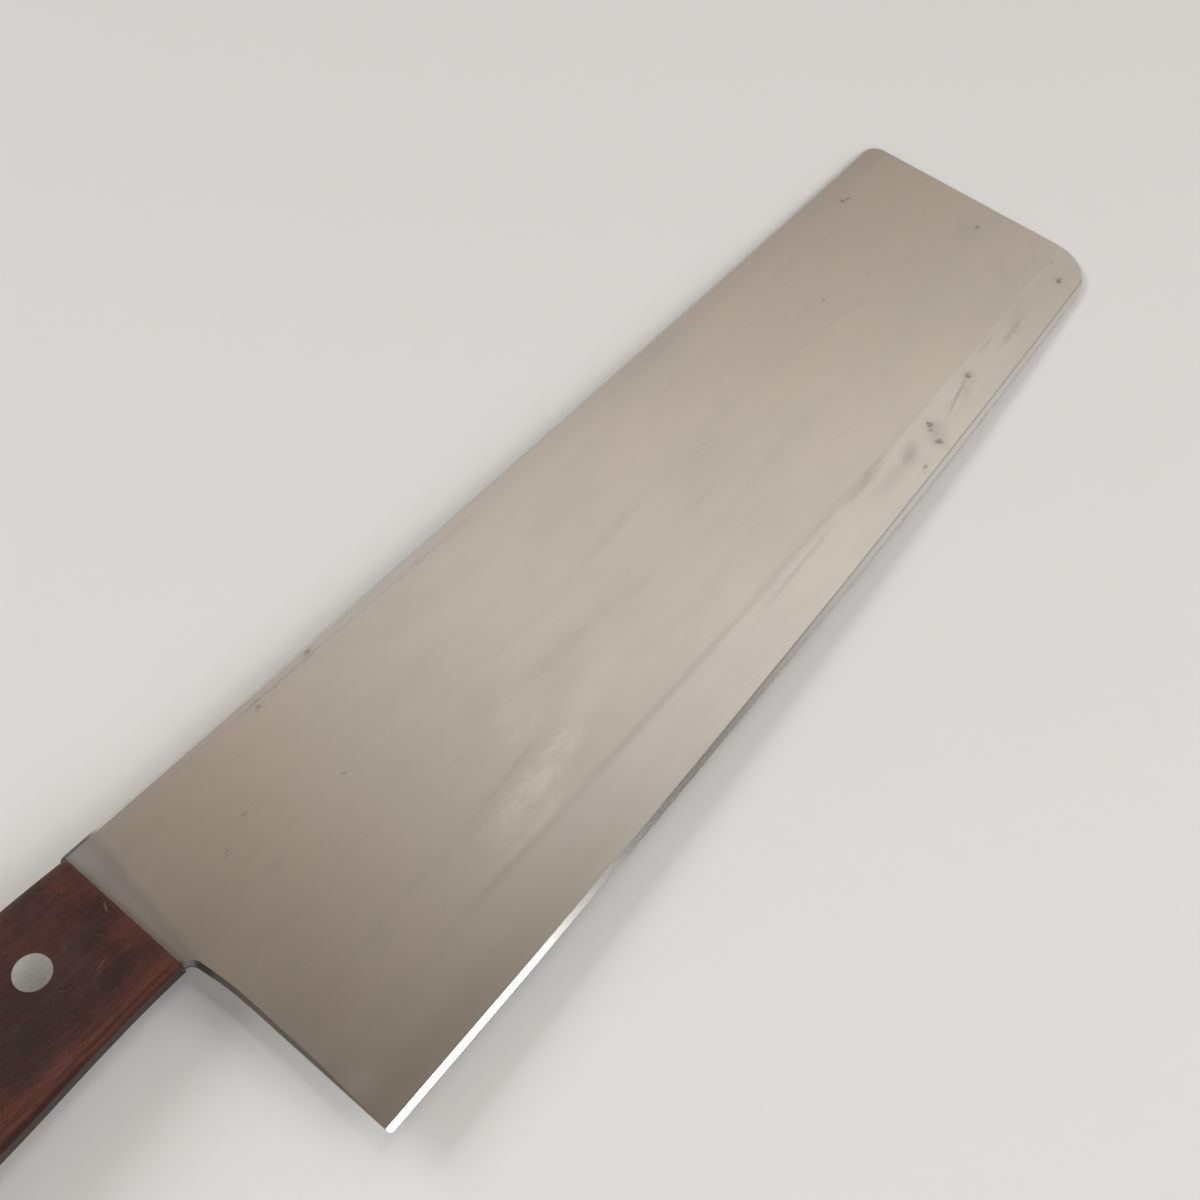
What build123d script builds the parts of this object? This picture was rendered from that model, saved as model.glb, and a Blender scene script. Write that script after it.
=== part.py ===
"""Large butcher's slicing cleaver: a wide, square-ended blade whose full tang sits between two
riveted wooden scales.

It is modelled lying on its side, in millimetres. While it is built, X runs along the spine
towards the tip, Y points from the cutting edge to the spine, and Z is the thickness, with
Z = 0 in the middle of the steel. X = 0 is the front of the wooden handle and Y = 0 is the
spine. At the end every piece moves, so that the origin lies under the centre of the whole
knife's box, on the surface that the flat side of the back scale rests on.
"""

from build123d import *
import math
import os

# ---- Blade outline, seen from the side --------------------------------------------------
blade_length = 270.0          # front of the handle to the tip end
heel_height = 85.2            # spine down to the edge at the heel
tip_height = 68.2             # the same at the tip end, before its corner is rounded
heel_setback = 3.9            # front of the handle to the heel's straight back line
edge_belly = 1.9              # how far the edge bows below a straight line
spine_hollow = 0.7            # how far the spine dips below a straight line
spine_end_radius = 1.6        # where the spine drops to the handle's back
tip_spine_radius = 4.0        # small corner, spine to tip
tip_edge_radius = 13.5        # large corner, tip to edge
heel_corner_radius = 0.8
notch_radius = 2.0            # inner corner between the neck and the heel
notch_flare = 1.3             # how far the heel line swings forward below the notch
notch_flare_length = 15.0

# ---- Blade thickness and grinds ---------------------------------------------------------
tang_thickness = 2.8          # unground steel: the tang and a narrow band before the wood
unground_band = 0.8           # width of that band
spine_thickness = 2.6         # ground steel at the spine, beside the handle
tip_thickness = 2.0           # at the spine, at the tip end
shoulder_thickness = 1.7      # at the heel, where the blade road starts
blade_road = 17.5             # height of the blade road at the heel; it narrows to the tip
edge_bevel = 1.3              # height of the sharpened bevel
edge_bevel_thickness = 0.6    # steel at the top of the sharpened bevel
edge_land = 0.1               # worn flat on the cutting edge itself
rim_land = 0.6                # what stays square on the spine, tip and heel rims
rim_slope = 1.2               # width of the eased rim over its depth

# ---- Handle, seen from the side ---------------------------------------------------------
handle_length = 122.0
back_front = 1.8              # each is the drop from the spine line to the handle's back
back_middle = 0.9
back_butt = 4.8
belly_front = 34.7            # each is the drop from the spine line to the handle's belly
belly_neck = 35.0
belly_middle = 37.1
belly_waist = 35.6
belly_butt = 39.0
back_middle_share = 0.45      # where they lie along the handle
belly_neck_share = 0.12
belly_middle_share = 0.44
belly_waist_share = 0.78
butt_lean = 3.0               # the back corner of the butt is this much further forward
butt_back_radius = 10.0
butt_belly_radius = 7.0

# ---- Scales -----------------------------------------------------------------------------
handle_thickness = 17.0       # over both scales
side_lean = 3.2               # how far back and belly lean in from the tang to the flank
front_lean = 1.2              # how far the foot of the front stands ahead of its top
front_relief = 1.3            # how far each flank falls towards the blade
front_relief_length = 13.0
butt_relief = 1.0             # and towards the butt
butt_relief_length = 14.0
scale_edge_radius = 4.0       # long edges, along the back and the belly
scale_front_radius = 0.8      # the crisp edge facing the blade

# ---- Rivets, each in two halves ---------------------------------------------------------
rivet_head_radius = 3.75
rivet_head_thickness = 2.4
rivet_crown = 0.12            # how far the middle of the head stands above its rim
rivet_tube_radius = 2.4
rivet_core_radius = 1.6
rivet_fit = 0.03              # radial clearance of every round fit
rivet_end_gap = 0.4           # between the end of a shank and the floor it faces
rivets = {                    # distance behind the handle's front, drop from the spine line
    "front": (18.4, 18.2),
    "middle": (60.0, 19.2),
    "rear": (100.0, 20.6),
}

# ---- Worked out from those --------------------------------------------------------------
tang_side = tang_thickness / 2
flank = handle_thickness / 2
relief_start = front_lean - front_relief_length      # the flank is flat between these two
relief_end = butt_relief_length - handle_length
rivet_floor = flank - rivet_head_thickness           # where the heads seat in the scales
reach = handle_length + blade_length + heel_height   # longer than any cut has to be


def cutting_edge():
    """The edge as one long arc from the heel to the tip end, before the corner is rounded."""
    middle = ((heel_setback + blade_length) / 2, -(heel_height + tip_height) / 2 - edge_belly)
    return ThreePointArc((heel_setback, -heel_height), middle, (blade_length, -tip_height))


def blade_outline():
    """The blade in front of the handle: spine, tip, edge, heel, notch and neck."""
    neck = -belly_front
    flare_end = neck - notch_flare_length
    flare_x = heel_setback - notch_flare
    outline = make_face([
        ThreePointArc((0, 0), (blade_length / 2, -spine_hollow), (blade_length, 0)),
        Line((blade_length, 0), (blade_length, -tip_height)),
        cutting_edge(),
        Line((heel_setback, -heel_height), (heel_setback, flare_end)),
        TangentArc((heel_setback, flare_end), (flare_x, neck), tangent=(0, 1)),
        Line((flare_x, neck), (0, neck)),
        Line((0, neck), (0, 0)),
    ])
    rounded = [
        ((blade_length, 0), tip_spine_radius),
        ((blade_length, -tip_height), tip_edge_radius),
        ((flare_x, neck), notch_radius),
    ]
    for place, radius in rounded:
        corner = outline.vertices().sort_by_distance(Vector(*place))[0]
        outline = fillet(corner, radius)
    return outline


def eased_blank():
    """The blade's outline at full thickness, with the rims that a hand meets eased."""
    blank = extrude(blade_outline(), amount=tang_side, both=True)
    edge = cutting_edge()
    depth = tang_side - rim_land / 2
    for side in (1, -1):
        face = blank.faces().sort_by(Axis.Z)[-1 if side > 0 else 0]
        rim = [
            line for line in face.edges()
            if line.bounding_box().max.X > 0.001
            and abs((line.position_at(0.5) - edge.arc_center).length - edge.radius) > tang_side
        ]
        blank = chamfer(rim, length=depth * rim_slope, length2=depth, reference=face)
    sharp = blade_outline()
    rounded = sharp
    for place, radius in (
        (Vector(heel_setback, -heel_height), heel_corner_radius),
        (Vector(0, 0), spine_end_radius),
    ):
        rounded = fillet(rounded.vertices().sort_by_distance(place)[0], radius)
    return blank - extrude(sharp - rounded, amount=tang_thickness, both=True)


def edge_grind():
    """What the blade road and the sharpened bevel leave: a body turned about the centre of
    the cutting edge's own circle, so that both grinds follow the curved edge."""
    edge = cutting_edge()
    land, bevel_top, road_top = edge_land / 2, edge_bevel_thickness / 2, shoulder_thickness / 2
    bevel_slope = (bevel_top - land) / edge_bevel
    road_slope = (road_top - bevel_top) / (blade_road - edge_bevel)
    full = tang_side + 1
    road_end = blade_road + (full - road_top) / road_slope
    side = [
        (edge.radius + land / bevel_slope, 0),
        (edge.radius - edge_bevel, bevel_top),
        (edge.radius - road_end, full),
        (edge.radius - reach, full),
    ]
    outward = (edge.position_at(0.5) - edge.arc_center).normalized()
    plane = Plane(origin=edge.arc_center, x_dir=outward, z_dir=outward.cross(Vector(0, 0, 1)))
    section = plane * make_face(Polyline(*side, *[(r, -z) for r, z in side[:0:-1]], close=True))
    axis = Axis(edge.arc_center, (0, 0, 1))
    half_angle = math.degrees(math.asin(reach / edge.radius))
    return revolve(section, axis, revolution_arc=2 * half_angle).rotate(axis, -half_angle)


def side_grind():
    """Everything outside the flat ground side of the blade, on the +Z side. The side leans
    in from spine to edge and from handle to tip, and starts just in front of the wood."""
    at_handle = Vector(0, 0, spine_thickness / 2)
    at_tip = Vector(blade_length, 0, tip_thickness / 2)
    at_road = Vector(heel_setback, blade_road - heel_height, shoulder_thickness / 2)
    along = at_tip - at_handle
    plane = Plane(origin=at_handle, x_dir=along, z_dir=(at_road - at_handle).cross(along))
    block = Box(reach, 2 * reach, tang_thickness, align=(Align.MIN, Align.CENTER, Align.MIN))
    return plane * Pos(front_lean + unground_band, 0, 0) * block


def handle_outline(lean=0.0):
    """The handle from the side, up to the foot of the scales' front. Without a lean it is the
    outline of the tang, which the scales meet flush all round."""
    front_back = (front_lean, -back_front - lean)
    front_belly = (front_lean, lean - belly_front)
    butt_back = (butt_lean - handle_length, -back_butt - lean)
    butt_belly = (-handle_length, lean - belly_butt)
    return make_face([
        Spline(front_back, (-back_middle_share * handle_length, -back_middle - lean), butt_back),
        Line(butt_back, butt_belly),
        Spline(butt_belly, (-belly_waist_share * handle_length, lean - belly_waist),
               (-belly_middle_share * handle_length, lean - belly_middle),
               (-belly_neck_share * handle_length, lean - belly_neck), front_belly),
        Line(front_belly, front_back),
    ])


def round_butt(body):
    """Rounds the two corners of the butt as seen from the side."""
    depth = body.bounding_box().size.Z
    for place, radius in (
        (Vector(butt_lean - handle_length, -back_butt, 0), butt_back_radius),
        (Vector(-handle_length, -belly_butt, 0), butt_belly_radius),
    ):
        upright = body.edges().filter_by(lambda edge: edge.bounding_box().size.Z > depth / 2)
        body = fillet(upright.sort_by_distance(place)[0], radius)
    return body


def leaning_slab():
    """One scale before its flank is shaped. Back and belly lean in as they leave the tang,
    and the front leans back from its foot."""
    height = flank - tang_side
    foot = Pos(0, 0, tang_side) * handle_outline()
    head = Pos(0, 0, flank + 1) * handle_outline(side_lean * (height + 1) / height)
    slab = round_butt(loft([foot, head], ruled=True))
    front = Plane(origin=(front_lean, 0, tang_side), x_dir=(0, 1, 0), z_dir=(height, 0, front_lean))
    return slab - front * Box(reach, reach, reach, align=(Align.CENTER, Align.CENTER, Align.MIN))


def rivet_axes():
    """Each rivet's name and the place of its axis in the side view."""
    return {name: Pos(-behind, -drop, 0) for name, (behind, drop) in rivets.items()}


def blade_and_tang():
    """One piece of steel: ground blade, unground band and full tang with its rivet holes."""
    tang = round_butt(Pos(0, 0, -tang_side) * extrude(handle_outline(), amount=tang_thickness))
    steel = eased_blank() + tang
    steel = steel & edge_grind()
    steel = steel - side_grind() - mirror(side_grind(), about=Plane.XY)
    for place in rivet_axes().values():
        steel = steel - place * Cylinder(rivet_tube_radius + rivet_fit, 2 * tang_thickness)
    return steel


def flank_profile():
    """The show scale seen from above: flat along the middle, easing down at both ends."""
    front, butt = flank - front_relief, flank - butt_relief
    ahead, behind = front_lean + tang_thickness, -handle_length - tang_thickness
    section = Plane.XZ * make_face([
        Line((ahead, 0), (ahead, front)),
        Line((ahead, front), (front_lean, front)),
        TangentArc((relief_start, flank), (front_lean, front), tangent=(1, 0)),
        Line((relief_start, flank), (relief_end, flank)),
        TangentArc((relief_end, flank), (-handle_length, butt), tangent=(-1, 0)),
        Line((-handle_length, butt), (behind, butt)),
        Line((behind, butt), (behind, 0)),
        Line((behind, 0), (ahead, 0)),
    ])
    return extrude(section, amount=reach, both=True)


def scale():
    """The scale on the show side; the other one is its mirror image."""
    body = leaning_slab() & flank_profile()
    long_edges = [
        edge for edge in body.edges()
        if edge.bounding_box().min.Z > (tang_side + flank) / 2
        and (edge.bounding_box().size.X > 0.01 or edge.position_at(0.5).X < relief_end - 0.01)
    ]
    body = fillet(long_edges, scale_edge_radius)
    front = body.faces().sort_by(Axis.X)[-1]
    front_edges = [edge for edge in front.edges() if edge.bounding_box().max.Z > tang_side + 0.01]
    body = fillet(front_edges, scale_front_radius)
    for place in rivet_axes().values():
        head = Cylinder(rivet_head_radius + rivet_fit, flank,
                        align=(Align.CENTER, Align.CENTER, Align.MIN))
        body = body - place * Pos(0, 0, rivet_floor) * head
        body = body - place * Cylinder(rivet_tube_radius + rivet_fit, 2 * handle_thickness)
    return body


def turned_half(stem):
    """A rivet half, turned from its half section. The crowned head is the same on both, and
    the stem's (radius, height) points run from the underside of the head to the axis."""
    middle, rim = (0, flank), (rivet_head_radius, flank - rivet_crown)
    crown = ThreePointArc(middle, (rivet_head_radius / 2, flank - rivet_crown / 4), rim)
    section = make_face([crown, *Polyline(rim, (rivet_head_radius, rivet_floor), *stem, middle).edges()])
    return revolve(Plane.XZ * section, Axis.Z)


def rivet_tube_half():
    """Head in the back scale with a blind tube that passes through the tang."""
    outer, inner = rivet_tube_radius, rivet_core_radius + rivet_fit
    tube_end = rivet_end_gap - rivet_floor
    stem = [(outer, rivet_floor), (outer, tube_end), (inner, tube_end),
            (inner, rivet_floor), (0, rivet_floor)]
    return turned_half(stem).rotate(Axis.X, 180)


def rivet_core_half():
    """Head in the show scale with the solid core that is driven into the tube."""
    core_end = rivet_end_gap - rivet_floor
    return turned_half([(rivet_core_radius, rivet_floor), (rivet_core_radius, core_end), (0, core_end)])


def main():
    show_scale = scale()
    pieces = {
        "blade_and_tang": blade_and_tang(),
        "scale_show_side": show_scale,
        "scale_back_side": mirror(show_scale, about=Plane.XY),
    }
    for name, place in rivet_axes().items():
        pieces[f"rivet_{name}_core"] = place * rivet_core_half()
        pieces[f"rivet_{name}_tube"] = place * rivet_tube_half()
    box = Compound(children=[Part() + piece for piece in pieces.values()]).bounding_box()
    to_origin = Pos(-box.center().X, -box.center().Y, -box.min.Z)
    os.makedirs("parts", exist_ok=True)
    for name, piece in pieces.items():
        export_step(to_origin * piece, f"parts/{name}.step")


main()
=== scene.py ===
"""Looks, light and camera for the large slicing cleaver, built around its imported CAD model.

Everything is in metres in the CAD model's frame. The materials work in millimetres in the
knife's own frame: X from the front of the handle towards the tip, Y from the spine (0) down
to the edge (negative), Z out of the middle of the steel.
"""

import math

import bpy
from mathutils import Matrix, Vector


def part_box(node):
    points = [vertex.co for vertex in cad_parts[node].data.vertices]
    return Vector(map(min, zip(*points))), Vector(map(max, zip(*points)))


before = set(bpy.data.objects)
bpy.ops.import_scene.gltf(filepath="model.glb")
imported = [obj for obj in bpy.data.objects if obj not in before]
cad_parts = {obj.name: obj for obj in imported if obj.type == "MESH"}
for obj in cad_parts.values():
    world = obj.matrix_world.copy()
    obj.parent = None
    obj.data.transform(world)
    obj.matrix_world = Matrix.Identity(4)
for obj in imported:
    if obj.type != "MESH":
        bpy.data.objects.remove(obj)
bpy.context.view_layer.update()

MM = 0.001
BLADE = "blade_and_tang"
SCALES = ("scale_show_side", "scale_back_side")
RIVETS = [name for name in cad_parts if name.startswith("rivet_")]

# ---- Sizes of the knife, in millimetres -------------------------------------------------
BLADE_LENGTH = 270.0
HEEL_SETBACK, HEEL_HEIGHT, TIP_HEIGHT, EDGE_BELLY = 3.9, 85.2, 68.2, 1.9
BLADE_ROAD, EDGE_BEVEL = 17.5, 1.3
# Half the steel's thickness at the spine, at the tip, above the blade road and at the bevel.
SPINE_HALF, TIP_HALF, SHOULDER_HALF, BEVEL_HALF = 1.3, 1.0, 0.85, 0.3
# How fast it thins towards the tip, down the side and down the road.
SIDE_TAPER = (SPINE_HALF - TIP_HALF) / BLADE_LENGTH
SIDE_SLOPE = (SPINE_HALF - SHOULDER_HALF) / (HEEL_HEIGHT - BLADE_ROAD)
ROAD_SLOPE = (SHOULDER_HALF - BEVEL_HALF) / (BLADE_ROAD - EDGE_BEVEL)

blade_low, blade_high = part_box(BLADE)
wood_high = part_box(SCALES[0])[1]
ORIGIN = Vector((blade_high.x - BLADE_LENGTH * MM, blade_high.y, (blade_low.z + blade_high.z) / 2))
WOOD_FOOT = (wood_high.x - ORIGIN.x) / MM        # where the wood's front meets the steel
FLANK_HEIGHT = (wood_high.z - ORIGIN.z) / MM     # the handle's flank above the steel's middle


def circle_through(a, b, c):
    """Centre and radius of the circle through three points of the side view."""
    d = 2 * (a[0] * (b[1] - c[1]) + b[0] * (c[1] - a[1]) + c[0] * (a[1] - b[1]))
    sa, sb, sc = (p[0] ** 2 + p[1] ** 2 for p in (a, b, c))
    x = (sa * (b[1] - c[1]) + sb * (c[1] - a[1]) + sc * (a[1] - b[1])) / d
    y = (sa * (c[0] - b[0]) + sb * (a[0] - c[0]) + sc * (b[0] - a[0])) / d
    return (x, y), math.dist((x, y), a)


EDGE_CENTRE, EDGE_RADIUS = circle_through(
    (HEEL_SETBACK, -HEEL_HEIGHT),
    ((HEEL_SETBACK + BLADE_LENGTH) / 2, -(HEEL_HEIGHT + TIP_HEIGHT) / 2 - EDGE_BELLY),
    (BLADE_LENGTH, -TIP_HEIGHT),
)


# ---- Node trees -------------------------------------------------------------------------
class Nodes:
    """A node tree with short calls. A value may be a number, a tuple or another node's output."""

    def __init__(self, tree):
        self.tree = tree

    def add(self, kind, inputs=(), **settings):
        """A new node, with values or links for its inputs by name or number."""
        node = self.tree.nodes.new(kind)
        for name, value in settings.items():
            setattr(node, name, value)
        for name, value in dict(inputs).items():
            self.plug(value, node.inputs[name])
        return node

    def plug(self, value, socket):
        if isinstance(value, bpy.types.NodeSocket):
            self.tree.links.new(value, socket)
        else:
            socket.default_value = value

    def math(self, operation, a, b=0.0, c=0.0, clamp=False):
        node = self.add("ShaderNodeMath", operation=operation, use_clamp=clamp)
        for socket, value in zip(node.inputs, (a, b, c)):
            self.plug(value, socket)
        return node.outputs[0]

    def times(self, first, *others):
        """The product of two or more masks or numbers."""
        for other in others:
            first = self.math("MULTIPLY", first, other)
        return first

    def more(self, value, mask, amount):
        """The value plus amount times the mask."""
        return self.math("MULTIPLY_ADD", mask, amount, value)

    def vary(self, value, noise, span):
        """The value, half of span lower where the noise is 0 and half of it higher at 1."""
        return self.more(value, self.math("SUBTRACT", noise, 0.5), span)

    def outside(self, mask):
        """1 where the mask is 0, and 0 where it is 1."""
        return self.math("SUBTRACT", 1.0, mask)

    def most(self, a, b):
        """The larger of two masks or numbers."""
        return self.math("MAXIMUM", a, b)

    def vector(self, operation, a, b=(0.0, 0.0, 0.0), scale=None):
        node = self.add("ShaderNodeVectorMath", operation=operation)
        self.plug(a, node.inputs[0])
        self.plug(b, node.inputs[1])
        if scale is not None:
            self.plug(scale, node.inputs["Scale"])
        return node.outputs["Value" if operation in ("DISTANCE", "LENGTH", "DOT_PRODUCT") else 0]

    def combine(self, x=0.0, y=0.0, z=0.0):
        return self.add("ShaderNodeCombineXYZ", {0: x, 1: y, 2: z}).outputs[0]

    def fade(self, value, start, end, low=0.0, high=1.0):
        """low before start, high after end, and a smooth step between them."""
        if start > end:
            start, end, low, high = end, start, high, low
        return self.add("ShaderNodeMapRange", {"Value": value, "From Min": start, "From Max": end,
                                               "To Min": low, "To Max": high},
                        interpolation_type="SMOOTHSTEP").outputs[0]

    def near(self, value, middle, reach, core=0.0):
        """1 within core of the middle, fading to 0 at reach from it."""
        return self.fade(self.math("ABSOLUTE", self.math("SUBTRACT", value, middle)), reach, core)

    def noise(self, vector, stretch=(1, 1, 1), detail=2.0, roughness=0.5, shift=0.0, lean=0.0):
        """Noise from 0 to 1 whose grains are about stretch millimetres long on each axis.

        shift keeps it apart from other noises, and lean turns it about Z, in radians.
        """
        if lean:
            vector = self.add("ShaderNodeVectorRotate", {"Vector": vector, "Angle": lean},
                              rotation_type="Z_AXIS").outputs[0]
        place = self.add("ShaderNodeMapping", {
            "Vector": vector, "Location": (shift, 1.7 * shift, 2.3 * shift),
            "Scale": tuple(1 / s for s in stretch)}, vector_type="POINT")
        return self.add("ShaderNodeTexNoise", {"Vector": place.outputs[0], "Scale": 1.0,
                                               "Detail": detail, "Roughness": roughness},
                        noise_dimensions="3D").outputs[0]

    def mix(self, factor, a, b):
        """From colour a to colour b as the factor goes from 0 to 1."""
        node = self.add("ShaderNodeMix", data_type="RGBA", clamp_factor=True)
        for index, value in ((0, factor), (6, a), (7, b)):
            self.plug(value, node.inputs[index])
        return node.outputs[2]

    def blend(self, factor, a, b):
        """The same as mix, for numbers."""
        node = self.add("ShaderNodeMix", data_type="FLOAT", clamp_factor=True)
        for index, value in ((0, factor), (2, a), (3, b)):
            self.plug(value, node.inputs[index])
        return node.outputs[0]

    def layers(self, base, rows):
        """Colours laid over a base in turn. Each row: its mask, its strength and its colour."""
        for mask, strength, rgb in rows:
            factor = mask if strength == 1 else self.times(mask, strength)
            base = self.mix(factor, base, colour(*rgb))
        return base

    def knife_frame(self):
        """The point in millimetres in the knife's own frame, and its three coordinates."""
        here = self.add("ShaderNodeTexCoord").outputs["Object"]
        point = self.vector("SCALE", self.vector("SUBTRACT", here, tuple(ORIGIN)), scale=1 / MM)
        return point, *self.add("ShaderNodeSeparateXYZ", {0: point}).outputs

    def facing(self):
        """How far a surface faces along Z, from 0 on a rim to 1 on a flat."""
        normal = self.add("ShaderNodeNewGeometry").outputs["Normal"]
        return self.math("ABSOLUTE", self.add("ShaderNodeSeparateXYZ", {0: normal}).outputs[2])

    def bump(self, height, depth, below=None):
        """A bump of depth millimetres between height 0 and 1, on top of another one."""
        inputs = {"Height": height, "Distance": depth * MM, "Strength": 1.0}
        if below is not None:
            inputs["Normal"] = below
        return self.add("ShaderNodeBump", inputs).outputs[0]


def colour(red, green, blue):
    return (red, green, blue, 1.0)


def new_material(name):
    material = bpy.data.materials.new(name)
    material.use_nodes = True
    tree = material.node_tree
    shader = next(node for node in tree.nodes if node.type == "BSDF_PRINCIPLED")
    return material, Nodes(tree), shader


def mark_mask(n, point, marks, ragged, start, end):
    """How strong the marks of a list are at each point.

    The outlines stray by up to about half of ragged, in millimetres. A mark fades in from
    start to end, which are shares of its half length and half width.
    """
    wobble = n.add("ShaderNodeTexNoise", {"Vector": point, "Scale": 0.9, "Detail": 3.0}).outputs[1]
    stray = n.vector("SCALE", n.vector("SUBTRACT", wobble, (0.5, 0.5, 0.5)), scale=ragged)
    moved = n.vector("ADD", point, stray)
    through = 50    # half the depth of a mark, which is more than the knife's thickness
    total = 0.0
    for along, below, length, width, lean, strength in marks:
        place = n.add("ShaderNodeMapping", {
            "Vector": moved, "Location": (along, -below, 0), "Rotation": (0, 0, math.radians(lean)),
            "Scale": (length / 2, width / 2, through)}, vector_type="TEXTURE")
        spot = n.fade(n.vector("LENGTH", place.outputs[0]), start, end, 0.0, strength)
        total = n.most(total, spot)
    return total


# ---- Steel ------------------------------------------------------------------------------
# Each mark: along the blade, below the spine, length, width, lean in degrees, strength.
STAINS = (
    (246.9, 7.2, 1.3, 1.0, 20, 0.8), (248.6, 7.6, 1.0, 0.8, 0, 0.7),
    (261.6, 37.9, 1.6, 0.9, 10, 0.6), (259.3, 63.2, 1.5, 1.3, 0, 0.9),
    (261.0, 55.3, 0.8, 0.5, 0, 0.4), (263.4, 58.6, 1.0, 0.6, 0, 0.4),
    (215.9, 23.8, 0.7, 0.6, 0, 0.6), (230.7, 26.6, 0.6, 0.5, 0, 0.3),
    (218.8, 63.6, 1.5, 1.6, 30, 0.9), (200.6, 65.2, 1.6, 1.3, 20, 0.9),
    (199.3, 66.3, 1.1, 1.0, 0, 0.7), (197.9, 69.8, 1.5, 1.8, 20, 0.9),
    (189.8, 71.5, 1.4, 0.7, 10, 0.7), (64.4, 2.3, 1.3, 0.8, 20, 0.8),
    (48.6, 4.3, 1.2, 0.8, 10, 0.8), (49.2, 28.3, 0.8, 0.6, 0, 0.6),
    (30.2, 20.1, 1.4, 0.7, 20, 0.5), (33.1, 19.6, 0.8, 0.5, 0, 0.3),
)
STREAKS = (
    (212.2, 65.2, 14.0, 1.1, 14, 0.42), (214.0, 66.4, 10.0, 2.6, 14, 0.14),
    (239.0, 63.6, 18.0, 1.6, 6, 0.38), (230.2, 61.4, 9.0, 1.2, 4, 0.24),
    (243.5, 61.5, 11.0, 3.0, 10, 0.18), (21.8, 23.7, 3.6, 0.7, 35, 0.45),
    (178.2, 63.7, 19.0, 2.6, 5, 0.34), (190.0, 67.0, 10.0, 4.5, 20, 0.32),
    (181.0, 68.0, 24.0, 5.0, 4, 0.15), (70.0, 53.2, 27.0, 1.8, 7, 0.22),
    (28.0, 57.5, 10.0, 7.0, 30, 0.15), (15.0, 49.8, 5.0, 2.5, 10, 0.22),
    (9.0, 45.0, 6.0, 3.5, 20, 0.20), (26.5, 33.0, 4.0, 2.0, 20, 0.18),
    (200.0, 67.5, 7.0, 5.0, 30, 0.20), (7.5, 75.0, 6.0, 6.0, 20, 0.30),
    (60.0, 3.3, 120.0, 0.7, -0.8, 0.30), (150.0, 66.5, 34.0, 1.4, 4, 0.18),
    (252.0, 52.0, 14.0, 5.0, 60, 0.10), (258.0, 36.0, 8.0, 4.0, 0, 0.12),
    (130.0, 30.0, 60.0, 3.0, 5, 0.08), (105.0, 42.0, 50.0, 3.5, -4, 0.08),
    (170.0, 44.0, 44.0, 3.0, 6, 0.08),
)
PALE_PATCHES = (
    (72.0, 58.2, 32.0, 6.5, 4, 0.9), (84.0, 56.6, 12.0, 4.0, 10, 1.0),
    (66.0, 64.0, 26.0, 7.0, 4, 0.45), (82.0, 45.0, 22.0, 12.0, 30, 0.35),
    (60.0, 62.0, 12.0, 5.0, 0, 0.5), (100.0, 52.0, 26.0, 8.0, 10, 0.25),
)
SIDE_ROUGHNESS, BEVEL_ROUGHNESS, TANG_ROUGHNESS = 0.285, 0.185, 0.55
# Cycles denoises a metal by other rules below a roughness of 0.274, and where the sides went
# back and forth across it small false marks showed, so the sides stay above it.
LEAST_SIDE_ROUGHNESS = 0.279
BRUSHED = 0.5                # how much the grinding along the blade stretches its highlights
UNGROUND_SHOULDER = 7.4      # how far past the wood the band's dark border lies


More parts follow.
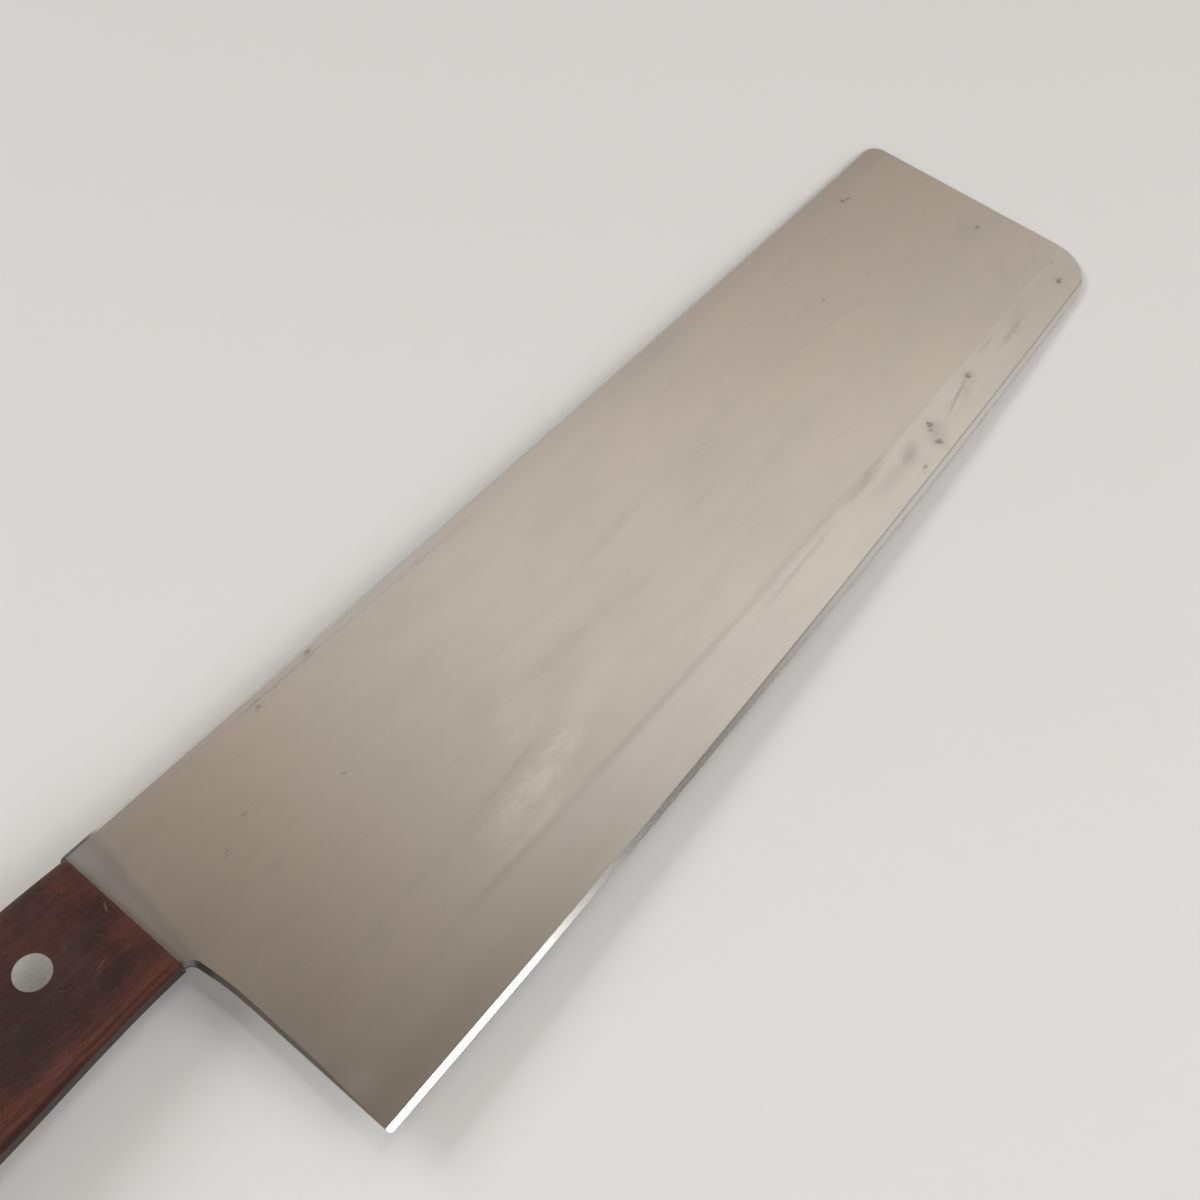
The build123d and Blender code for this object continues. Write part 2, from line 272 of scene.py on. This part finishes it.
def steel():
    """Ground blade with its road and bevel, the unground band, and the tang's bare edges."""
    material, n, shader = new_material("blade_steel")
    point, x, y, z = n.knife_frame()
    facing = n.facing()
    show_side = n.fade(z, -0.1, 0.1)
    tang = n.fade(x, WOOD_FOOT + 0.1, WOOD_FOOT - 0.1)
    bare = n.fade(x, WOOD_FOOT - 0.1, WOOD_FOOT + 0.1)

    # The bevel follows the curved edge, and the road starts where its plane meets the side's.
    in_side_view = n.vector("MULTIPLY", point, (1, 1, 0))
    from_centre = n.vector("DISTANCE", in_side_view, (*EDGE_CENTRE, 0))
    above_edge = n.math("SUBTRACT", EDGE_RADIUS, from_centre)
    bevel = n.fade(above_edge, EDGE_BEVEL + 0.1, EDGE_BEVEL - 0.1)
    side_half = n.more(n.more(SPINE_HALF, y, SIDE_SLOPE), x, -SIDE_TAPER)
    road_half = n.more(BEVEL_HALF, n.math("SUBTRACT", above_edge, EDGE_BEVEL), ROAD_SLOPE)
    below_crease = n.math("SUBTRACT", side_half, road_half)
    road = n.fade(below_crease, -0.03, 0.03)
    # Painted shade: a dark line where the road meets the side.
    crease_shade = n.times(n.near(below_crease, -0.015, 0.045), n.fade(x, 25, 60), n.fade(x, 215, 165))
    # Painted shade: a dark line along the top of the bevel, from where its highlight fades.
    bevel_top_shade = n.times(n.near(above_edge, EDGE_BEVEL, 0.35, 0.05), n.fade(x, 70, 130))

    # Painted shade darkens the rims, apart from the spine near the handle, which stays bright.
    # A strip beside it is paler and cooler; painted shade darkens the spine towards the tip.
    unshaded_spine = n.times(n.fade(y, -6.0, -3.0), n.fade(x, 95, 50))
    rim_shade = n.times(n.fade(facing, 0.93, 0.85), n.outside(unshaded_spine))
    spine_strip = n.times(n.fade(y, -3.6, -2.2), n.fade(x, 135, 60))
    spine_tip_shade = n.times(n.fade(y, -9.0, -3.0), n.fade(x, 75, 115, 0.0, 0.13))

    # Beside the wood are the unground band with its border, and painted shade: a dark strip where
    # the steel meets the wood, and a near-black patch in the hollow under the neck.
    waver = n.math("SUBTRACT", n.noise(point, (9, 11, 11), 2.0, 0.5, shift=27.0), 0.5)
    past_wood = n.more(n.math("SUBTRACT", x, n.times(y, 0.13)), waver, 3.0)
    band = n.times(n.fade(past_wood, 10.0, 5.4), bare, n.fade(y, -36, -6, 0.4, 1.0))
    shoulder = n.times(n.near(past_wood, UNGROUND_SHOULDER, 2.2), bare)
    wood_seam_shade = n.times(n.fade(n.more(x, waver, 1.2), WOOD_FOOT + 1.6, WOOD_FOOT), bare)
    notch_shade = n.times(n.fade(x, 10.5, 6.0), n.fade(y, -44.0, -38.0), n.fade(facing, 0.97, 0.80))

    # The polish is soft and cloudy, with faint streaks along the blade and finer ones across
    # it. The bevel is honed along its length.
    fine = n.noise(point, (0.32, 14, 14), 2.0, 0.5)
    medium = n.noise(point, (1.1, 45, 45), 2.0, 0.5, shift=7.0)
    broad = n.noise(point, (60, 16, 16), 2.0, 0.5, shift=3.0)
    cloud = n.noise(point, (42, 15, 15), 3.0, 0.55, shift=5.0)
    mottle = n.noise(point, (7.0, 3.6, 3.6), 4.0, 0.6, shift=9.0)
    wiped = n.noise(point, (46, 2.4, 2.4), 3.0, 0.6, shift=15.0, lean=math.radians(3.5))
    honed = n.noise(point, (24, 0.16, 0.16), 3.0, 0.6, shift=13.0)

    # Long light scratches from use, a few in each of three directions.
    scratches = 0.0
    for lean, shift, cut in ((0.12, 21.0, 0.68), (-0.3, 33.0, 0.70), (0.8, 45.0, 0.72)):
        hair = n.noise(point, (22.0, 0.14, 0.14), 1.0, 0.4, shift=shift, lean=lean)
        where = n.noise(point, (24, 7, 7), 1.0, 0.5, shift=shift + 5.0, lean=lean)
        sparse = n.fade(where, 0.62, 0.70)
        scratches = n.most(scratches, n.times(n.fade(hair, cut, cut + 0.05), sparse))

    # Stains, their halos, streaks and the pale patches lie on the show side, specks on both.
    stain_grain = n.noise(point, (0.45, 0.45, 0.45), 2.0, 0.6, shift=70.0)
    stains = n.times(mark_mask(n, point, STAINS, 1.3, 1.6, 0.3), show_side,
                     n.fade(stain_grain, 0.36, 0.54, 0.3, 1.0))
    halos = n.times(mark_mask(n, point, STAINS, 2.4, 4.5, 0.8), show_side)
    streaks = n.times(mark_mask(n, point, STREAKS, 1.8, 1.35, 0.1), show_side,
                      n.fade(n.math("ADD", mottle, wiped), 0.75, 1.15, 0.35, 1.0))
    pale_patches = n.times(mark_mask(n, point, PALE_PATCHES, 3.5, 1.3, 0.35), show_side,
                   n.fade(mottle, 0.36, 0.62, 0.35, 1.0))
    specks = n.times(n.fade(n.noise(point, (0.5, 0.45, 0.45), 2.0, 0.6, shift=60.0), 0.80, 0.84),
                     n.fade(cloud, 0.5, 0.6))
    dirt = n.most(stains, n.times(specks, 0.35))

    # The steel is warmer towards the heel, and the road is cooler in the middle of the blade.
    # Painted shade darkens the steel low on the heel and the road at the tip.
    warm_heel = n.fade(x, 85, 12, 0.0, 0.85)
    cool_road = n.times(road, n.times(n.fade(x, 235, 175), n.fade(x, 30, 95, 0.05, 0.6)))
    heel_edge_shade = n.times(n.fade(above_edge, 13.0, 3.0), n.fade(x, 115, 45, 0.0, 0.30))
    tip_road_shade = n.times(road, 0.3, n.fade(x, 205, 262))
    base = n.mix(n.fade(cloud, 0.35, 0.68),
                 colour(0.625, 0.588, 0.538), colour(0.602, 0.574, 0.533))
    base = n.layers(base, (
        (warm_heel, 1, (0.655, 0.578, 0.492)),
        (cool_road, 1, (0.615, 0.597, 0.565)),
        # Painted shade low on the heel.
        (heel_edge_shade, 1, (0.37, 0.325, 0.275)),
        # Painted shade along the spine towards the tip.
        (spine_tip_shade, 1, (0.30, 0.29, 0.28)),
        # Painted shade on the road at the tip.
        (tip_road_shade, 1, (0.44, 0.43, 0.415)),
        (n.fade(mottle, 0.48, 0.75), 0.07, (0.44, 0.42, 0.40)),
        (n.fade(wiped, 0.55, 0.75), 0.14, (0.72, 0.70, 0.68)),
        (n.fade(wiped, 0.45, 0.28), 0.14, (0.47, 0.45, 0.44)),
        (pale_patches, 0.5, (0.88, 0.86, 0.83)),
        # Painted shade along the line where the road meets the side.
        (n.times(crease_shade, n.fade(wiped, 0.35, 0.65, 0.12, 0.34)), 1, (0.36, 0.35, 0.33)),
        (spine_strip, 0.35, (0.60, 0.60, 0.62)),
        (band, 0.7, (0.53, 0.535, 0.54)),
        (shoulder, 0.22, (0.28, 0.27, 0.27)),
        # Painted shade where the steel meets the wood.
        (wood_seam_shade, 0.45, (0.24, 0.25, 0.22)),
        (bevel, 0.8, (0.60, 0.615, 0.61)),
        # Painted shade along the top of the bevel.
        (bevel_top_shade, 0.45, (0.24, 0.25, 0.24)),
        # Painted shade on the rims.
        (rim_shade, 0.5, (0.46, 0.48, 0.46)),
        (halos, 0.20, (0.34, 0.31, 0.32)),
        (streaks, 1, (0.31, 0.305, 0.325)),
        (dirt, 0.85, (0.18, 0.17, 0.175)),
        # Painted shade in the hollow under the neck.
        (notch_shade, 0.9, (0.10, 0.095, 0.085)),
        # The tang's bare edges: a dark patina, and painted shade for the shadow under the handle.
        (tang, 1, (0.060, 0.042, 0.036)),
    ))
    n.plug(base, shader.inputs["Base Color"])
    metal = n.outside(n.times(tang, 0.55))
    n.plug(n.math("SUBTRACT", metal, n.times(dirt, 0.4)), shader.inputs["Metallic"])

    rough = n.vary(SIDE_ROUGHNESS, fine, 0.006)
    rough = n.vary(rough, medium, 0.012)
    rough = n.most(n.vary(rough, cloud, 0.06), LEAST_SIDE_ROUGHNESS)
    rough = n.blend(bevel, rough, n.more(BEVEL_ROUGHNESS, honed, 0.015))
    rough = n.more(rough, n.most(dirt, streaks), 0.15)
    rough = n.blend(n.most(tang, notch_shade), rough, TANG_ROUGHNESS)
    n.plug(rough, shader.inputs["Roughness"])

    on_side = n.outside(n.most(tang, bevel))
    normal = n.bump(n.times(broad, on_side), 0.012)
    normal = n.bump(n.times(mottle, on_side), 0.0008, normal)
    normal = n.bump(n.blend(bevel, fine, n.times(honed, 0.06)), 0.0005, normal)
    normal = n.bump(n.outside(n.most(scratches, dirt)), 0.0015, normal)
    n.plug(normal, shader.inputs["Normal"])

    shader.inputs["Anisotropic"].default_value = BRUSHED
    n.plug(n.combine(x=1.0), shader.inputs["Tangent"])
    return material


# ---- Wood -------------------------------------------------------------------------------
# Where hands and tools have marked the show side, in the same terms as the steel's marks.
GRIPPED = (
    (-26.0, 26.0, 34.0, 15.0, 8, 0.8), (-60.0, 20.0, 50.0, 20.0, 0, 0.5),
    (-14.0, 30.0, 18.0, 7.0, 5, 0.6), (-105.0, 18.0, 30.0, 24.0, 0, 0.5),
)
SCRAPES = (
    (-1.4, 18.0, 2.6, 0.7, 60, 0.9), (-9.5, 26.5, 4.0, 0.6, 10, 0.5),
    (-27.0, 9.0, 3.0, 0.5, -30, 0.4),
)
BOARD_JUMP = 40.0            # how far apart in the tree the two scales were cut
GRAIN_SWAY = 9.0             # how far the grain wanders across the handle
WOOD_ROUGHNESS, WOOD_SHEEN = 0.44, 0.25


def wood():
    """Dark worn rosewood: purple-brown and mottled on the flanks; the sides' lighter, redder tone
    is painted light.
    """
    material, n, shader = new_material("scale_wood")
    point, x, _, z = n.knife_frame()
    show_side = n.fade(z, 0.0, 1.0)
    # The two scales come from different boards, so the grain jumps at the tang.
    shifted = n.vector("ADD", point, n.combine(x=n.times(n.math("SIGN", z), BOARD_JUMP)))
    sway = n.noise(shifted, (60, 22, 22), 2.0, 0.5, shift=2.0)
    grain = n.vector("ADD", shifted, n.combine(y=n.times(sway, GRAIN_SWAY)))

    figure = n.noise(grain, (70, 3.2, 3.2), 3.0, 0.55)
    streak = n.noise(grain, (26, 0.9, 0.9), 3.0, 0.6, shift=4.0)
    fibre = n.noise(grain, (7, 0.22, 0.22), 3.0, 0.6, shift=8.0)
    patch = n.noise(shifted, (10, 6, 6), 3.0, 0.6, shift=12.0)
    sheen_patches = n.noise(shifted, (16, 9, 9), 2.0, 0.5, shift=24.0)
    pores = n.fade(n.noise(grain, (2.6, 0.16, 0.16), 1.0, 0.5, shift=20.0), 0.60, 0.70)

    flank = n.fade(n.math("ABSOLUTE", z), 0.50 * FLANK_HEIGHT, 0.94 * FLANK_HEIGHT)
    gripped = n.times(mark_mask(n, point, GRIPPED, 5.0, 1.3, 0.2), show_side)
    scratches = n.times(mark_mask(n, point, SCRAPES, 0.8, 1.2, 0.2), show_side)
    for lean, shift, cut in ((0.5, 27.0, 0.755), (-0.6, 39.0, 0.76)):
        hair = n.noise(shifted, (0.2, 5, 5), 1.0, 0.4, shift=shift, lean=lean)
        scratches = n.most(scratches, n.fade(hair, cut, cut + 0.03, 0.0, 0.5))

    # Painted light: the sides are lighter and redder than the flanks, for the bounce light they
    # catch.
    side = n.mix(n.fade(figure, 0.35, 0.65),
                 colour(0.036, 0.0095, 0.0060), colour(0.135, 0.042, 0.024))
    top = n.mix(n.fade(patch, 0.32, 0.68),
                colour(0.032, 0.0125, 0.0125), colour(0.090, 0.0270, 0.0200))
    # Painted sheen: purple-grey patches on the flanks.
    top = n.layers(top, ((n.fade(sheen_patches, 0.5, 0.7), 0.5, (0.034, 0.024, 0.028)),))
    base = n.layers(n.mix(n.times(flank, 0.9), side, top), (
        (n.fade(streak, 0.5, 0.72), 0.22, (0.150, 0.055, 0.034)),
        (n.fade(streak, 0.5, 0.3), 0.30, (0.022, 0.0105, 0.0095)),
        (gripped, 0.8, (0.028, 0.0165, 0.0175)),
        (pores, 0.6, (0.012, 0.008, 0.007)),
        # Painted highlight: lighter, redder wood along the front edge, where its rounding catches
        # light.
        (n.fade(x, -1.2, 0.2), 0.5, (0.110, 0.038, 0.028)),
        (scratches, 0.6, (0.20, 0.12, 0.09)),
    ))
    n.plug(base, shader.inputs["Base Color"])

    rough = n.more(WOOD_ROUGHNESS, patch, 0.16)
    rough = n.more(rough, fibre, 0.10)
    rough = n.more(rough, pores, 0.2)
    rough = n.math("MULTIPLY_ADD", scratches, 0.15, rough, clamp=True)
    n.plug(rough, shader.inputs["Roughness"])

    normal = n.bump(patch, 0.05)
    normal = n.bump(fibre, 0.02, normal)
    normal = n.bump(n.outside(n.most(pores, scratches)), 0.03, normal)
    n.plug(normal, shader.inputs["Normal"])
    shader.inputs["Specular IOR Level"].default_value = WOOD_SHEEN
    return material


# ---- Rivets -----------------------------------------------------------------------------
RIVET_ROUGHNESS = 0.30


def rivet_metal():
    """Dull aluminium with fine scratches from polishing with the wood."""
    material, n, shader = new_material("rivet_metal")
    point = n.knife_frame()[0]
    grey = n.noise(point, (1.6, 1.2, 1.2), 3.0, 0.6)
    lines = n.noise(point, (3.5, 0.07, 0.07), 3.0, 0.6, shift=5.0)
    crossed = n.noise(point, (0.08, 2.5, 2.5), 2.0, 0.6, shift=9.0, lean=0.6)
    base = n.mix(n.fade(grey, 0.30, 0.75), colour(0.46, 0.45, 0.435), colour(0.40, 0.395, 0.385))
    n.plug(base, shader.inputs["Base Color"])
    shader.inputs["Metallic"].default_value = 1.0
    rough = n.more(n.more(RIVET_ROUGHNESS, lines, 0.10), grey, 0.08)
    n.plug(rough, shader.inputs["Roughness"])
    n.plug(n.bump(crossed, 0.003, n.bump(lines, 0.003)), shader.inputs["Normal"])
    return material


def dress():
    """Each CAD node gets the material of its slot."""
    looks = {BLADE: steel()}
    looks.update(dict.fromkeys(SCALES, wood()))
    looks.update(dict.fromkeys(RIVETS, rivet_metal()))
    for name, material in looks.items():
        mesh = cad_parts[name].data
        mesh.materials.clear()
        mesh.materials.append(material)


# ---- Studio, in metres ------------------------------------------------------------------
# The knife lies on the front of its handle and the tip of its blade, so the floor leans
# against the blade's plane, which is the model's XY plane.
FLOOR_UP = Vector((-0.0279, 0.0066, 0.9996)).normalized()
FLOOR_HALF, FLOOR_GAP = 6.0, 0.00002
FLOOR_COLOUR, BACKDROP = colour(0.84, 0.84, 0.83), colour(0.90, 0.895, 0.885)
FLOOR_ROUGHNESS = 0.7
BLEND_STARTS, BLEND_ENDS = 0.45, 1.30        # how far out the floor runs into the backdrop

# The room that the steel reflects: a window along one side, a curtain that closes it, and a
# blind that dims it. Each has a direction, and how far along it its fade starts and ends.
WINDOW, WINDOW_FADE = (0.9135, 0.4069, 0.0), (0.343, 0.521)
CURTAIN, CURTAIN_FADE = (0.7712, 0.6365, 0.0), (0.092, 0.928)
BLIND, BLIND_FADE, BLIND_DIMS_TO = (0.0, 1.0, 0.0), (-0.06, 0.12), 0.45
WINDOW_LIGHT, ROOM_LIGHT = 2.874, 0.025
DIM_TINT, BRIGHT_TINT = colour(1.30, 1.0, 0.80), colour(1.04, 1.0, 0.955)
HORIZON, HORIZON_FADE = colour(0.36, 0.35, 0.34), (0.42, 0.16)

# The view was solved from the blade's corners, whose sizes are known.
SENSOR, LENS = 36.0, 52.07
CAMERA_PLACE = (-0.12097, -0.12962, 0.31319)
CAMERA_RIGHT = Vector((0.64729, -0.76218, 0.01002))
CAMERA_UP = Vector((0.62509, 0.53830, 0.56524))

HEEL = ORIGIN + Vector((HEEL_SETBACK, -HEEL_HEIGHT, 0)) * MM
MIDDLE = Vector((0, 0, 0))
# Each lamp: its name, place and aim, its width and height, its watts and its colour.
LAMPS = (
    ("ceiling_lamp", HEEL + Vector((0.22, -0.08, 0.90)), HEEL, 0.22, 0.10, 0.7, (1, 0.97, 0.93)),
    ("left_softbox", Vector((-0.75, -0.60, 0.75)), MIDDLE, 0.9, 0.7, 5.2, (1, 1, 1)),
    ("right_softbox", Vector((0.55, -0.95, 0.70)), MIDDLE, 0.9, 0.7, 5.2, (1, 1, 1)),
    ("back_softbox", Vector((-0.5, 1.5, 1.1)), MIDDLE, 1.3, 0.8, 15.0, (1, 1, 1)),
)


def floor_paint():
    """Matt pale paint. Far out, and only for the camera, it runs into the background."""
    material, n, shader = new_material("floor_paint")
    shader.inputs["Base Color"].default_value = FLOOR_COLOUR
    shader.inputs["Roughness"].default_value = FLOOR_ROUGHNESS
    position = n.add("ShaderNodeNewGeometry").outputs["Position"]
    out = n.vector("LENGTH", n.vector("MULTIPLY", position, (1, 1, 0)))
    seen = n.add("ShaderNodeLightPath").outputs["Is Camera Ray"]
    backdrop = n.add("ShaderNodeEmission", {"Color": BACKDROP, "Strength": 1.0})
    blend = n.add("ShaderNodeMixShader", {
        0: n.times(n.fade(out, BLEND_STARTS, BLEND_ENDS), seen),
        1: shader.outputs[0], 2: backdrop.outputs[0]})
    surface = next(node for node in material.node_tree.nodes if node.type == "OUTPUT_MATERIAL")
    n.plug(blend.outputs[0], surface.inputs["Surface"])
    return material


def add_floor():
    """A plain pale floor that touches the lowest points of the knife."""
    lowest = min(FLOOR_UP.dot(v.co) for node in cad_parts.values() for v in node.data.vertices)
    mesh = bpy.data.meshes.new("floor")
    corners = [(-FLOOR_HALF, -FLOOR_HALF, 0), (FLOOR_HALF, -FLOOR_HALF, 0),
               (FLOOR_HALF, FLOOR_HALF, 0), (-FLOOR_HALF, FLOOR_HALF, 0)]
    mesh.from_pydata(corners, [], [(0, 1, 2, 3)])
    mesh.materials.append(floor_paint())
    floor = bpy.data.objects.new("floor", mesh)
    bpy.context.scene.collection.objects.link(floor)
    floor.rotation_euler = FLOOR_UP.to_track_quat("Z", "Y").to_euler()
    floor.location = FLOOR_UP * (lowest - FLOOR_GAP)


def add_world():
    """The room's light, and a plain background for the camera."""
    world = bpy.data.worlds.new("studio")
    bpy.context.scene.world = world
    world.use_nodes = True
    n = Nodes(world.node_tree)
    background = next(node for node in world.node_tree.nodes if node.type == "BACKGROUND")
    direction = n.vector("NORMALIZE", n.add("ShaderNodeTexCoord").outputs["Generated"])
    up = n.add("ShaderNodeSeparateXYZ", {0: direction}).outputs[2]
    window = n.fade(n.vector("DOT_PRODUCT", direction, WINDOW), *WINDOW_FADE)
    curtain = n.fade(n.vector("DOT_PRODUCT", direction, CURTAIN), *CURTAIN_FADE)
    blind = n.fade(n.vector("DOT_PRODUCT", direction, BLIND), *BLIND_FADE, BLIND_DIMS_TO, 1.0)
    glow = n.more(ROOM_LIGHT, n.times(window, blind, n.outside(curtain)), WINDOW_LIGHT)
    light = n.vector("SCALE", n.mix(n.fade(glow, 0.1, 1.1), DIM_TINT, BRIGHT_TINT), scale=glow)
    room = n.mix(n.fade(up, *HORIZON_FADE), light, HORIZON)
    seen = n.add("ShaderNodeLightPath").outputs["Is Camera Ray"]
    n.plug(n.mix(seen, room, BACKDROP), background.inputs["Color"])


def add_lamp(name, place, aim, width, height, watts, tint):
    lamp = bpy.data.lights.new(name, "AREA")
    lamp.shape, lamp.size, lamp.size_y = "RECTANGLE", width, height
    lamp.energy, lamp.color = watts, tint
    holder = bpy.data.objects.new(name, lamp)
    bpy.context.scene.collection.objects.link(holder)
    holder.location = place
    holder.rotation_euler = (aim - place).to_track_quat("-Z", "Y").to_euler()


def add_camera():
    data = bpy.data.cameras.new("camera")
    data.sensor_width, data.lens = SENSOR, LENS
    data.clip_start, data.clip_end = 0.01, 50.0
    camera = bpy.data.objects.new("camera", data)
    bpy.context.scene.collection.objects.link(camera)
    axes = Matrix((CAMERA_RIGHT, CAMERA_UP, CAMERA_RIGHT.cross(CAMERA_UP))).transposed()
    camera.matrix_world = Matrix.Translation(CAMERA_PLACE) @ axes.to_4x4()
    bpy.context.scene.camera = camera


dress()
add_floor()
add_world()
for lamp in LAMPS:
    add_lamp(*lamp)
add_camera()
bpy.context.scene.view_settings.view_transform = "Standard"
